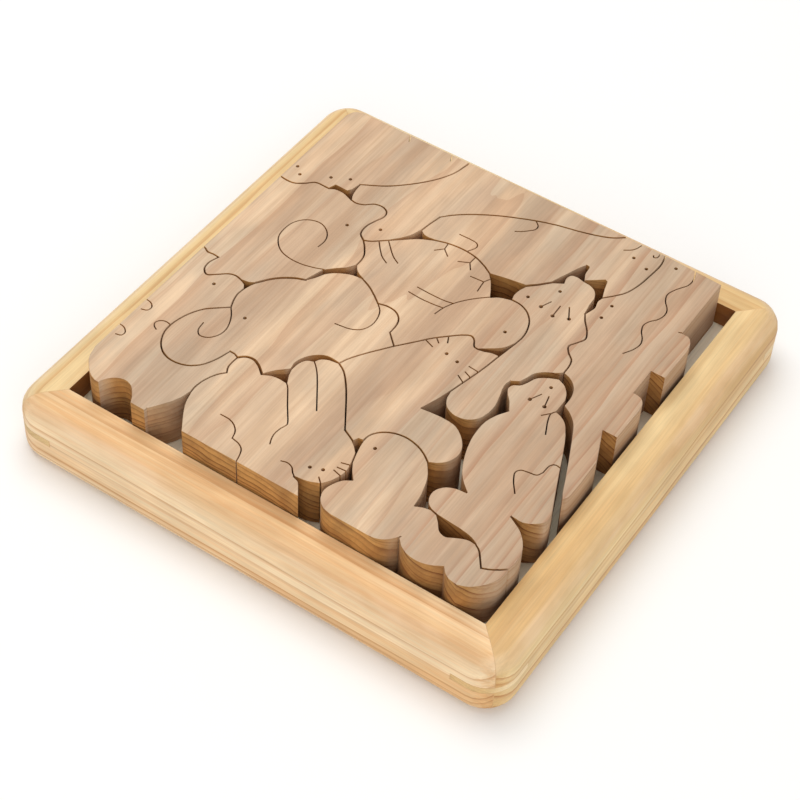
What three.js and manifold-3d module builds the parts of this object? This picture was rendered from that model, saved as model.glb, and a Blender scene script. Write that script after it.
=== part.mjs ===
// A wooden animal puzzle: thirteen animals sawn from one board, standing in a mitred tray.
// Millimetres, +Z up. The origin is at the centre of the tray's underside.
// The saw pattern is seen from above, with +X to the right and +Y to the back.
import * as THREE from "three";
import { mergeVertices } from "three/addons/utils/BufferGeometryUtils.js";
import Module from "manifold-3d";

const wasm = await Module();
wasm.setup();

// Tray.
const OPENING = 200; // inside width and depth of the tray
const RAIL_WIDTH = 18;
const RAIL_HEIGHT = 30;
const CORNER_RADIUS = 14; // outer corner, seen from above
const TOP_ROUND = 9; // round-over along the top outer edge
const FOOT_ROUND = 5; // round-over along the bottom outer edge
const ROUND_STEPS = 5; // facets in each round-over
const CORNER_STEPS = 8; // facets in each outer corner
const TRAY_DEPTH = 12; // from the top of the rails down to the floor that the animals stand on
const PANEL_THICKNESS = 6;
const GROOVE_DEPTH = 5; // how far the floor panel runs into each rail
const SPLINE_THICKNESS = 3; // feather glued across each mitre
const SPLINE_BACKING = 3.5; // wood left between a feather's slot and the floor panel's groove
const FIT = 0.3; // clearance between pieces that touch

// Animals.
const BOARD_THICKNESS = 24.5;
const PLAY = 0.25; // between the board and the tray's inside, at the front and at the back
const EASING = 0.25; // width and height of the sanded slope round an animal's top
const KERF = 0.6; // width of a saw cut
const WORN_KERF = 1; // cuts that were sanded wider
const EYE_DIAMETER = 1.7;
const EYE_DEPTH = 10;
const BLADE_HOLE_DIAMETER = 1.9; // drilled through, where the blade starts an inside cut
const HOLE_SIDES = 8;

// Sampling of curves.
const CURVE_TOLERANCE = 0.05;
const SAMPLES_PER_SPAN = 16;
const OVERSHOOT = 1; // how far a cutting solid stands proud of what it cuts

// The saw pattern is drawn on a board with this front and back, and is scaled to the tray.
const PATTERN_FRONT = -100;
const PATTERN_BACK = 102;
const PATTERN_SCALE = (OPENING - 2 * PLAY) / (PATTERN_BACK - PATTERN_FRONT);
const PATTERN_MIDDLE = (PATTERN_FRONT + PATTERN_BACK) / 2;
const PANEL_TOP = RAIL_HEIGHT - TRAY_DEPTH;
const BOARD_BOTTOM = PANEL_TOP + FIT;
const BOARD_TOP = BOARD_BOTTOM + BOARD_THICKNESS;
const OUTER_SIDE = OPENING + 2 * RAIL_WIDTH;
const PANEL_BOTTOM = PANEL_TOP - PANEL_THICKNESS;
const SPLINE_REACH = 2 * (RAIL_WIDTH - GROOVE_DEPTH) - SPLINE_BACKING * Math.SQRT2; // along each side

// ---------------------------------------------------------------- solids

function solidFrom(geometry) {
  const bare = geometry.index ? geometry.toNonIndexed() : geometry.clone();
  bare.deleteAttribute("normal");
  bare.deleteAttribute("uv");
  const merged = mergeVertices(bare, 1e-4);
  return new wasm.Manifold(
    new wasm.Mesh({
      numProp: 3,
      vertProperties: merged.attributes.position.array,
      triVerts: new Uint32Array(merged.index.array),
    }),
  );
}

function geometryFrom(solid) {
  const mesh = solid.getMesh();
  const geometry = new THREE.BufferGeometry();
  geometry.setAttribute("position", new THREE.BufferAttribute(mesh.vertProperties, 3));
  geometry.setIndex(new THREE.BufferAttribute(mesh.triVerts, 1));
  geometry.computeVertexNormals();
  return geometry;
}

// A flat outline, given as [x, y] points, raised from one height to another.
function prism(outline, bottom, top) {
  const shape = new THREE.Shape(outline.map(([x, y]) => new THREE.Vector2(x, y)));
  const geometry = new THREE.ExtrudeGeometry(shape, { depth: top - bottom, bevelEnabled: false });
  geometry.translate(0, 0, bottom);
  return solidFrom(geometry);
}

function drilledHole([x, y], diameter, bottom, top) {
  const geometry = new THREE.CylinderGeometry(diameter / 2, diameter / 2, top - bottom, HOLE_SIDES);
  geometry.rotateX(Math.PI / 2);
  geometry.translate(x, y, (top + bottom) / 2);
  return solidFrom(geometry);
}

function squareOutline(side) {
  const half = side / 2;
  return [[-half, -half], [half, -half], [half, half], [-half, half]];
}

// ---------------------------------------------------------------- tray

// A square outline with rounded corners, set in from the tray's outer side all round.
function roundedOutline(inset) {
  const radius = CORNER_RADIUS - inset;
  const centre = OUTER_SIDE / 2 - CORNER_RADIUS;
  const points = [];
  for (let corner = 0; corner < 4; corner++) {
    const middle = Math.PI / 4 + (corner * Math.PI) / 2;
    for (let step = 0; step <= CORNER_STEPS; step++) {
      const angle = middle + (step / CORNER_STEPS - 0.5) * (Math.PI / 2);
      points.push([
        Math.sign(Math.cos(middle)) * centre + radius * Math.cos(angle),
        Math.sign(Math.sin(middle)) * centre + radius * Math.sin(angle),
      ]);
    }
  }
  return points;
}

// Heights and insets up the outside of a rail: foot round-over, straight side, top round-over.
function railProfile() {
  const levels = [];
  for (let step = 0; step <= ROUND_STEPS; step++) {
    const angle = (step / ROUND_STEPS) * (Math.PI / 2);
    levels.push([FOOT_ROUND * (1 - Math.sin(angle)), FOOT_ROUND * (1 - Math.cos(angle))]);
  }
  for (let step = 0; step <= ROUND_STEPS; step++) {
    const angle = (step / ROUND_STEPS) * (Math.PI / 2);
    levels.push([TOP_ROUND * (1 - Math.cos(angle)), RAIL_HEIGHT - TOP_ROUND * (1 - Math.sin(angle))]);
  }
  return levels;
}

// The tray's outer form as one solid block, lofted through the levels of the rail profile.
function trayBlock() {
  const rings = railProfile().map(([inset, height]) =>
    roundedOutline(inset).map(([x, y]) => new THREE.Vector3(x, y, height)),
  );
  const triangles = [];
  const last = rings.length - 1;
  const bottomCentre = new THREE.Vector3(0, 0, 0);
  const topCentre = new THREE.Vector3(0, 0, RAIL_HEIGHT);
  rings[0].forEach((point, i) => {
    const next = (i + 1) % rings[0].length;
    triangles.push(bottomCentre, rings[0][next], point);
    triangles.push(topCentre, rings[last][i], rings[last][next]);
    for (let level = 0; level < last; level++) {
      const below = rings[level];
      const above = rings[level + 1];
      triangles.push(below[i], below[next], above[next]);
      triangles.push(below[i], above[next], above[i]);
    }
  });
  return solidFrom(new THREE.BufferGeometry().setFromPoints(triangles));
}

// A quarter of the tray seen from above, between two mitres, set in from them by half the fit.
function mitreQuarter(turn) {
  const reach = OUTER_SIDE;
  const apex = (FIT / 2) * Math.SQRT2;
  const wedge = [[0, -apex], [-reach, -reach - apex], [reach, -reach - apex]];
  const geometry = new THREE.ExtrudeGeometry(
    new THREE.Shape(wedge.map(([x, y]) => new THREE.Vector2(x, y))),
    { depth: RAIL_HEIGHT + 2 * OVERSHOOT, bevelEnabled: false },
  );
  geometry.translate(0, 0, -OVERSHOOT);
  geometry.rotateZ((turn * Math.PI) / 2);
  return solidFrom(geometry);
}

// The corner that a feather fills, seen from above, at the front left and turned round the tray.
function splineCorner(turn, reach, bottom, top) {
  const half = OUTER_SIDE / 2;
  const corner = [[-half, -half], [-half + reach, -half], [-half, -half + reach]];
  const geometry = new THREE.ExtrudeGeometry(
    new THREE.Shape(corner.map(([x, y]) => new THREE.Vector2(x, y))),
    { depth: top - bottom, bevelEnabled: false },
  );
  geometry.translate(0, 0, bottom);
  geometry.rotateZ((turn * Math.PI) / 2);
  return solidFrom(geometry);
}

function grooveRing() {
  return prism(squareOutline(OPENING + 2 * GROOVE_DEPTH), PANEL_BOTTOM - FIT, PANEL_TOP + FIT);
}

function rail(turn) {
  const middle = RAIL_HEIGHT / 2;
  const slotHalf = SPLINE_THICKNESS / 2 + FIT;
  const slotReach = SPLINE_REACH + FIT * Math.SQRT2;
  return trayBlock()
    .subtract(prism(squareOutline(OPENING), -OVERSHOOT, RAIL_HEIGHT + OVERSHOOT))
    .subtract(grooveRing())
    .intersect(mitreQuarter(turn))
    .subtract(splineCorner(turn, slotReach, middle - slotHalf, middle + slotHalf))
    .subtract(splineCorner(turn + 1, slotReach, middle - slotHalf, middle + slotHalf));
}

function cornerSpline(turn) {
  const middle = RAIL_HEIGHT / 2;
  const half = SPLINE_THICKNESS / 2;
  return trayBlock().intersect(splineCorner(turn, SPLINE_REACH, middle - half, middle + half));
}

function floorPanel() {
  return prism(squareOutline(OPENING + 2 * (GROOVE_DEPTH - FIT)), PANEL_BOTTOM, PANEL_TOP);
}

// ---------------------------------------------------------------- saw cuts

// Leaves out the points of a fine line that lie within the tolerance of the chord.
function thin(points) {
  const first = points[0];
  const last = points[points.length - 1];
  const chord = Math.hypot(last[0] - first[0], last[1] - first[1]) || 1;
  let far = 0;
  let farthest = 0;
  points.forEach(([x, y], i) => {
    const area = (last[0] - first[0]) * (y - first[1]) - (last[1] - first[1]) * (x - first[0]);
    const away = Math.abs(area) / chord;
    if (away > far) {
      far = away;
      farthest = i;
    }
  });
  if (far < CURVE_TOLERANCE) return [first, last];
  return [...thin(points.slice(0, farthest + 1)).slice(0, -1), ...thin(points.slice(farthest))];
}

const placed = ([x, y]) => [x * PATTERN_SCALE, (y - PATTERN_MIDDLE) * PATTERN_SCALE];

// A smooth saw cut through pattern points.
function curve(...points) {
  const knots = points.map(placed).map(([x, y]) => new THREE.Vector3(x, y, 0));
  const spline = new THREE.CatmullRomCurve3(knots, false, "centripetal");
  const fine = spline.getPoints((knots.length - 1) * SAMPLES_PER_SPAN).map((p) => [p.x, p.y]);
  return { path: thin(fine), width: KERF };
}

// A saw cut made of straight stretches.
function straight(...points) {
  return { path: points.map(placed), width: KERF };
}

const worn = (cut) => ({ ...cut, width: WORN_KERF });

// Where the two sides of a strip pass each point of its path. Half the strip is on each side of
// the path, and its square ends stand beyond the path by the overrun.
function stripSides(path, half, overrun) {
  const directions = path.slice(1).map(([x, y], i) => {
    const length = Math.hypot(x - path[i][0], y - path[i][1]);
    return [(x - path[i][0]) / length, (y - path[i][1]) / length];
  });
  return path.map(([x, y], i) => {
    const before = directions[Math.max(i - 1, 0)];
    const after = directions[Math.min(i, directions.length - 1)];
    const beyond = overrun * ((i === path.length - 1 ? 1 : 0) - (i === 0 ? 1 : 0));
    const middle = [x + after[0] * beyond, y + after[1] * beyond];
    const bisector = [before[0] + after[0], before[1] + after[1]];
    const share = (2 * half) / (bisector[0] ** 2 + bisector[1] ** 2);
    return [
      [middle[0] - bisector[1] * share, middle[1] + bisector[0] * share],
      [middle[0] + bisector[1] * share, middle[1] - bisector[0] * share],
    ];
  });
}

// The strip that the blade takes out along a path.
function kerfSolid({ path, width }, bottom, top) {
  const sides = stripSides(path, width / 2, width / 2);
  const left = sides.map(([point]) => point);
  const right = sides.map(([, point]) => point);
  return prism([...right, ...left.reverse()], bottom, top);
}

// The flare at the top of a sanded cut, which eases the edges on both sides of it. It starts inside
// the cut and ends above the board.
function flareSolid({ path, width }) {
  const margin = width / 4;
  const low = stripSides(path, width / 2 - margin, width / 2);
  const high = stripSides(path, width / 2 + EASING + margin, width / 2);
  const section = (i) => [
    ...low[i].map(([x, y]) => [x, y, BOARD_TOP - EASING - margin]),
    ...high[i].map(([x, y]) => [x, y, BOARD_TOP + margin]),
  ];
  return wasm.Manifold.union(
    path.slice(1).map((point, i) => wasm.Manifold.hull([...section(i), ...section(i + 1)])),
  );
}

// Points of the pattern where three cuts meet, or where a cut runs out of the board.
const at = {
  hippoMouth: [-100, 44.4],
  hippoChin: [-77.5, 50.4],
  hippoCrown: [-67.9, 60.8],
  mouseCheek: [-65.5, 50.3],
  mouseNape: [-36.1, 102],
  mouseNose: [-46.3, 32.2],
  mouseThroat: [-37.3, 39],
  mouseHeel: [-29.6, 52.3],
  mouseTail: [45.9, 102],
  boarToe: [-21.5, 50.6],
  boarChest: [9, 47.3],
  boarElbow: [25.5, 50.3],
  boarKnee: [33, 58.3],
  boarHoof: [43.9, 67.3],
  boarThroat: [55.2, 63],
  boarCrown: [65, 102],
  ramBrow: [-40.2, 17.8],
  ramNose: [-49.6, 7.6],
  ramKnee: [-68.3, -15.6],
  ramHeel: [-74.5, -18.2],
  ramHind: [-100, -11.5],
  tigerHip: [-33.5, 12.8],
  tigerHeel: [-19.8, 4.4],
  tigerFoot: [-0.5, -12],
  tigerNeck: [16.8, 35.6],
  tigerCrown: [24.5, 39.5],
  tigerJaw: [39.5, 18.8],
  catEarLeft: [28.5, 6.9],
  catEarRight: [37.8, 9],
  catBack: [32, -19.5],
  catTail: [45.5, -56.2],
  catPaw: [18.3, -61.8],
  catToe: [15.2, -64.3],
  dogNose: [54.2, 50.8],
  dogHeel: [64.3, 16.3],
  bearBrow: [-70.4, -21.5],
  bearRump: [-48.8, -54.9],
  bearKnee: [-52.7, -81],
  trunkRoot: [-68.3, -33.6],
  trunkHeel: [-53.4, -54],
  elephantToe: [-35.2, -56.6],
  elephantLap: [-27.3, -47.3],
  rabbitNape: [-24.5, -54.4],
  rabbitEar: [-13.4, -33.2],
  rabbitEarNotch: [-22.3, -38.2],
  rabbitCrown: [19.7, -68.6],
  rabbitCheek: [21.2, -73.6],
  rabbitChin: [7, -92.6],
  chickNeck: [26.4, -80.7],
  chickCrotch: [53.3, -77.2],
  chickNotch: [56.8, -93.8],
  chickNotchRight: [78.2, -95.4],
  chickTail: [99.3, -81.9],
  sealPaw: [59.3, -75.1],
  sealSole: [62.7, -76],
  sealAnkle: [82.3, -79.2],
  sealHeel: [90.2, -87.7],
  sealNape: [56.8, -14.5],
  sealWaistLeft: [66, -60],
  sealWaistRight: [86.4, -60],
  sealShoulder: [72.9, -3.5],
  sealCrown: [64.6, 12.5],
  tailTip: [98.2, -42],
};

// Cuts that outline the animals. Where one cut has an animal on both sides, both share it.
const cuts = {
  // Hippo, back left.
  hippoJaw: curve(at.hippoMouth, [-95, 43.8], [-91.5, 44.5], [-88, 47], [-84.5, 50.2], at.hippoChin),
  hippoEar: straight(at.hippoChin, [-76.3, 54], [-70, 53.8], [-68.6, 56.2], at.hippoCrown),
  hippoBack: curve(
    at.hippoCrown, [-63, 63.6], [-57.5, 67.1], [-51.5, 72.6], [-46, 78.7], [-41.3, 85.4], [-38, 92.5],
    at.mouseNape,
  ),
  boardCorner: curve([-94, 102], [-98.2, 100.2], [-100, 96]),

  // Mouse, with its back and tail along the back of the board.
  mouseShoulder: curve(at.hippoCrown, [-67.6, 56.5], [-66.8, 53], at.mouseCheek),
  mouseChin: curve(
    at.mouseCheek, [-62.5, 49.8], [-59, 51], [-55.5, 54], [-51.5, 54.7], [-48.3, 53], [-47.5, 50],
    [-49.2, 45], [-50.5, 40], [-49.7, 35], at.mouseNose,
  ),
  mouseLip: curve(at.mouseNose, [-43, 34], [-40.5, 36.2], at.mouseThroat),
  mouseBelly: curve(at.mouseThroat, [-33.2, 44], [-31, 48], at.mouseHeel),
  mouseLeg: curve(at.mouseHeel, [-29, 57], [-27.6, 64.3]),
  mouseTail: curve(
    [-27.6, 64.3], [-23.9, 68.4], [-18, 73.4], [-8, 79.8], [0, 83.8], [8, 87.3], [17, 90.4], [27, 92.8],
    [35, 95.3], [40, 97.5], at.mouseTail,
  ),

  // Boar, back centre.
  boarFoot: curve(at.mouseHeel, [-27.5, 50.7], [-25, 50.2], at.boarToe),
  boarBelly: curve(at.boarToe, [-16, 52.3], [-9, 53.1], [-2, 52.4], [4, 50.2], at.boarChest),
  boarArm: curve(at.boarChest, [14.5, 48.5], [20, 49.5], at.boarElbow),
  boarChin: worn(curve(at.boarElbow, [28.8, 53.5], at.boarKnee)),
  boarForeleg: curve(at.boarKnee, [36, 66.5], [38.5, 73], [40, 76.3]),
  boarForehoof: curve([40, 76.3], [41.2, 76.1], [42, 71.3], at.boarHoof),
  boarBrow: straight(at.boarHoof, [51, 73.2], [52, 72.8], [53.2, 68.5], at.boarThroat),
  boarNape: curve(at.boarThroat, [58.5, 66.8], [62, 71.7], [64.3, 79], [65.5, 88], [66, 95], at.boarCrown),

  // Ram, centre left.
  ramPoll: curve(at.hippoChin, [-75, 51.9], [-70.5, 52.1], at.mouseCheek),
  ramFace: curve(at.mouseNose, [-43.5, 29], [-41, 25], [-40.2, 21.5], at.ramBrow),
  ramMuzzle: curve(at.ramBrow, [-42.3, 14.3], [-46, 11], at.ramNose),
  ramChest: curve(at.ramNose, [-51, 3], [-52.5, -2.1]),
  ramBelly: worn(curve([-52.5, -2.1], [-56.5, -3.8], [-61, -6.8], [-64.5, -10.2], at.ramKnee)),
  ramHock: curve(at.ramKnee, [-70.8, -17.5], at.ramHeel),
  ramTail: curve(
    at.ramHeel, [-78, -17.5], [-81, -18.4], [-84.5, -21.3], [-88.3, -24.1], [-91.2, -22], [-92, -18],
    [-90.6, -12.9],
  ),
  ramRump: curve([-90.6, -12.9], [-93.5, -12.7], [-96.3, -13], [-98.3, -11.9], at.ramHind),

  // Tiger, in the middle.
  tigerRump: curve(at.mouseThroat, [-32.3, 43.5], [-27.5, 47.5], at.boarToe),
  tigerThigh: curve(at.ramBrow, [-38.2, 15.3], [-36, 13.8], at.tigerHip),
  tigerShin: curve(at.tigerHip, [-28, 10.3], [-23.5, 7.3], at.tigerHeel),
  tigerSole: curve(at.tigerHeel, [-15.5, 5.4], [-11, 4.8], [-7.8, 2.3], [-6.4, -1.5], [-6.3, -6.5]),
  tigerToe: straight([-6.3, -6.5], at.tigerFoot),
  tigerForeleg: curve(
    at.tigerFoot, [5, -5.1], [10, 1.3], [14.5, 5.8], [19, 10], [22.3, 11.7], [24.4, 10.6], [26.6, 7.3],
    at.catEarLeft,
  ),
  tigerShoulder: curve(at.boarChest, [12, 43.8], [14.7, 39.5], at.tigerNeck),
  tigerBrow: curve(at.tigerNeck, [19.5, 37.8], at.tigerCrown),
  tigerFace: curve(at.tigerCrown, [29, 39.4], [33.5, 37.5], [37.3, 33.5], [39.6, 27.5], [40, 23], at.tigerJaw),
  tigerChin: curve(at.tigerJaw, [37.3, 14.3], [34, 11], [31, 8.7], at.catEarLeft),

  // Cat, front centre.
  catEar: curve(at.catEarLeft, [31.5, 7.6], [34.5, 8.8], at.catEarRight),
  catSide: curve(at.catEarRight, [36, -2], [34, -11], at.catBack),
  catRump: curve(at.catBack, [30.5, -25.5], [27.6, -33.8]),
  catTail: curve(
    [27.6, -33.8], [32, -33.2], [38, -32.8], [44, -33.6], [49, -37], [52.4, -41.5], [53.4, -46],
    [52, -51], [48.8, -54.4], at.catTail,
  ),
  catBelly: curve(
    at.catTail, [41.5, -53.3], [37, -51.3], [31, -50.4], [25, -51.8], [20.6, -55], [18.6, -58.5],
    at.catPaw,
  ),
  catFoot: straight(at.catPaw, [16.3, -62], at.catToe),
  catFront: curve(at.rabbitEar, [-12, -29.5], [-9, -24.2], [-5, -18.3], at.tigerFoot),

  // Dog, back right of the middle.
  dogNose: curve(at.tigerCrown, [23.8, 42.5], [24.2, 46.5], at.boarElbow),
  dogEar: curve(at.boarKnee, [37.5, 61.2]),
  dogPoll: curve([37.5, 61.2], [36.7, 64.5], [37.7, 67.3], [40.5, 68], at.boarHoof),
  dogCrown: curve(at.boarHoof, [48, 66.8], [51, 65], [53, 61.5], [53.4, 56.5], at.dogNose),
  dogBack: curve(
    at.dogNose, [56.5, 47], [60.2, 42.3], [61.8, 38.2], [60, 34.3], [58.2, 30.7], [60, 27.5],
    [63.2, 24.5], [64.2, 20.5], at.dogHeel,
  ),
  dogThroat: curve(at.tigerJaw, [38.6, 13.5], at.catEarRight),
  dogHaunch: curve(
    at.catBack, [32.7, -23.5], [35.3, -27.5], [40, -29.6], [45, -29], [49, -26], [51, -21], [51.3, -15],
    [50, -9.5], [48.8, -5.5], [48.5, -2.5], [49, -0.2],
  ),
  dogRump: curve([49, -0.2], [52.3, 1.8], [53.5, 4.6], [54.8, 8.6], [57.8, 11.8], [62, 14.3], at.dogHeel),

  // Elephant, left of the middle.
  elephantNape: curve(at.tigerHip, [-38, 12.3], [-42, 10.7], [-46, 8], [-48.3, 5.5]),
  elephantChest: curve([-48.3, 5.5], [-50.1, 1.6], [-52.5, -2.1]),
  elephantBrow: curve(at.ramKnee, [-69.6, -18.5], at.bearBrow),
  elephantFace: curve(at.bearBrow, [-70.7, -26], [-69.6, -30.5], at.trunkRoot),
  elephantTrunk: curve(
    at.trunkRoot, [-72.5, -37.2], [-77, -41.5], [-80.5, -48], [-82.3, -56], [-81.8, -61.5], [-79, -67],
    [-74.5, -70.8], [-69, -72], [-63, -70.6], [-58.5, -67], [-55.3, -61], at.trunkHeel,
  ),
  elephantCuff: straight(at.trunkHeel, [-51, -54], at.bearRump),
  elephantSole: worn(curve(at.bearRump, [-46.5, -52.7], [-43, -51.9], [-39.5, -53.2], at.elephantToe)),
  elephantKnee: curve(at.elephantToe, [-32, -52], [-29.5, -49.6], at.elephantLap),
  elephantBelly: curve(at.elephantLap, [-27.9, -43.5], [-26.7, -39.4], [-24, -35.7], [-19.5, -33], at.rabbitEar),

  // Bear, front left.
  bearPoll: curve(at.ramHeel, [-71.8, -19.4], at.bearBrow),
  bearBack: curve(at.bearRump, [-49, -58], [-48.7, -61.5], [-47.3, -64.2]),
  bearHaunch: curve([-47.3, -64.2], [-50, -67.5], [-52.3, -73], [-53, -78], at.bearKnee),
  bearLeg: curve(at.bearKnee, [-53.8, -86], [-56.5, -91.5], [-61.3, -98.3]),
  bearFoot: straight([-61.3, -98.3], [-61.5, -100], [-68.8, -100]),
  bearArch: curve(
    [-68.8, -100], [-70.8, -96.5], [-74.5, -92.7], [-78.5, -91.8], [-82.5, -93.6], [-85.3, -97.3],
    [-85.7, -99],
  ),
  bearForefoot: curve([-88, -99], [-91.5, -97.4], [-95, -94.3], [-98.2, -90], [-100, -84]),

  // Rabbit, along the front.
  rabbitThigh: curve(at.bearKnee, [-51, -87], [-48, -92.5], [-45, -97], [-43, -100]),
  rabbitShoulder: curve(at.elephantToe, [-31.5, -54.7], [-28, -54.2], at.rabbitNape),
  rabbitEarRoot: curve(at.rabbitNape, [-26.2, -51], at.elephantLap),
  rabbitEarNear: curve(at.elephantLap, [-26.9, -43], [-25.3, -39.7], at.rabbitEarNotch),
  rabbitEarFar: curve(at.rabbitEarNotch, [-21, -35.8], [-18, -34], at.rabbitEar),
  rabbitEarBack: curve(at.rabbitEar, [-9.4, -35.6], [-4.6, -40.8], [0.3, -47.6], [5.1, -55], [9.3, -61.4]),
  rabbitBrow: straight([9.3, -61.4], [12.5, -62.9], at.catToe),
  rabbitCrown: curve(at.catToe, [17.3, -66], at.rabbitCrown),
  rabbitTemple: curve(at.rabbitCrown, at.rabbitCheek),
  rabbitCheek: curve(at.rabbitCheek, [22.1, -78], [21.6, -82], [20, -86], [17.6, -89.6]),
  rabbitMouth: curve([17.6, -89.6], [12.5, -91.8], at.rabbitChin),
  rabbitPaw: curve(at.rabbitChin, [9.8, -93.6], [12.3, -96.8], [14.5, -100]),

  // Chick, front right, with scalloped tail feathers along the front.
  chickCrown: curve(at.catPaw, [18.8, -65], at.rabbitCrown),
  chickNape: curve(at.rabbitCheek, [23.4, -77.2], at.chickNeck),
  chickBreast: curve(at.chickNeck, [23.2, -83], [20.9, -87], [19.9, -91.5], [21.5, -96], [25, -99], [29.5, -100]),
  chickBack: curve(at.catTail, [49, -61], [51.3, -66.5], [52.7, -72], at.chickCrotch),
  chickWing: curve(at.chickCrotch, [56, -75.9], at.sealPaw),
  chickSaddle: curve(
    at.sealSole, [65.3, -78.7], [68, -82], [71, -82.8], [73.7, -81.4], [77.3, -79.6], [79.8, -79],
    at.sealAnkle,
  ),
  chickTailEnd: curve(at.chickTail, [98.8, -88], [95.8, -93.8], [91.5, -98], [87, -100]),
  chickTailLow: curve([87, -100], [83, -99.4], [80.3, -97.8], at.chickNotchRight),
  chickFeather: curve(at.chickNotchRight, [74.5, -97.8], [69, -99.3], [63.5, -98.8], [59.6, -96.7], at.chickNotch),
  chickFoot: curve(at.chickNotch, [54, -97.3], [50.5, -99.4], [46.5, -100]),

  // Seal, right.
  sealFace: curve(
    at.sealCrown, [60.5, 10.6], [56.5, 7.4], [54.9, 3.5], [53.3, 0.4], [50.7, -1.4], [49.9, -4],
    [51.3, -6.9], [54.2, -10.2], at.sealNape,
  ),
  sealBack: curve(
    at.sealNape, [53.8, -19.5], [52, -25], [51.8, -31], [52.5, -36.5], [54.3, -43], [57, -49.5],
    [60.5, -55], at.sealWaistLeft,
  ),
  sealHip: curve(at.sealWaistLeft, [61, -60.7], [57.2, -62.8], [55, -66.3], [55, -70], [56.8, -73.4], at.sealPaw),
  sealFlipper: curve(at.sealPaw, at.sealSole),
  sealSole: curve(at.sealSole, [68, -76.4], [74, -76.8], [79, -77.7], at.sealAnkle),
  sealAnkle: curve(at.sealAnkle, [85, -81], [87.7, -84.3], at.sealHeel),
  sealHeel: curve(at.sealHeel, [93, -86.5], [96, -84.6], at.chickTail),
  sealThigh: curve(at.chickTail, [99.8, -77], [99, -72], [96.8, -67.8], [93, -63.8], at.sealWaistRight),
  sealBelly: curve(
    at.sealWaistRight, [91.5, -60.3], [96, -58], [98.8, -54.8], [99, -51], [96.5, -44.3], [91, -31.5],
    [86.7, -21], [82.3, -11.6], [78.7, -6.4], [75.5, -4.3], at.sealShoulder,
  ),
  sealThroat: curve(at.sealShoulder, [72.9, 0.3], [72.7, 4.3], [71, 8], [68.2, 10.9], at.sealCrown),

  // Crocodile, along the right side with its snout at the back.
  crocBrow: curve(at.dogNose, [54.9, 53.3], [55.6, 56.3], [54.7, 60.2], at.boarThroat),
  crocJowl: curve(at.dogHeel, [68, 14.9], [71.6, 11.5], [73.3, 6.8], [73.5, 1]),
  crocTail: curve(
    [73.5, 1], [77.5, -1.4], [81.3, -5.2], [84.8, -12], [89.1, -21.5], [93.2, -31], [96, -38], at.tailTip,
  ),
  crocTailBack: curve(at.tailTip, [99.6, -39.3], [100, -33], [99.9, -24], [99.7, -17]),
  crocThigh: straight([99.7, -17], [93.4, -1.4], [99.8, -1.4], [100, 17]),
  crocHindfoot: curve([100, 17], [99.2, 21], [97, 23.4], [93.3, 24]),
  crocBelly: straight([93.3, 24], [93.3, 38.2], [99.8, 38.2], [100, 57]),
  crocForefoot: curve([100, 57], [99.2, 61.5], [96.8, 64.8], [93.4, 65.2]),
  crocThroat: straight([93.4, 65.2], [93.2, 100.6]),
};

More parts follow.
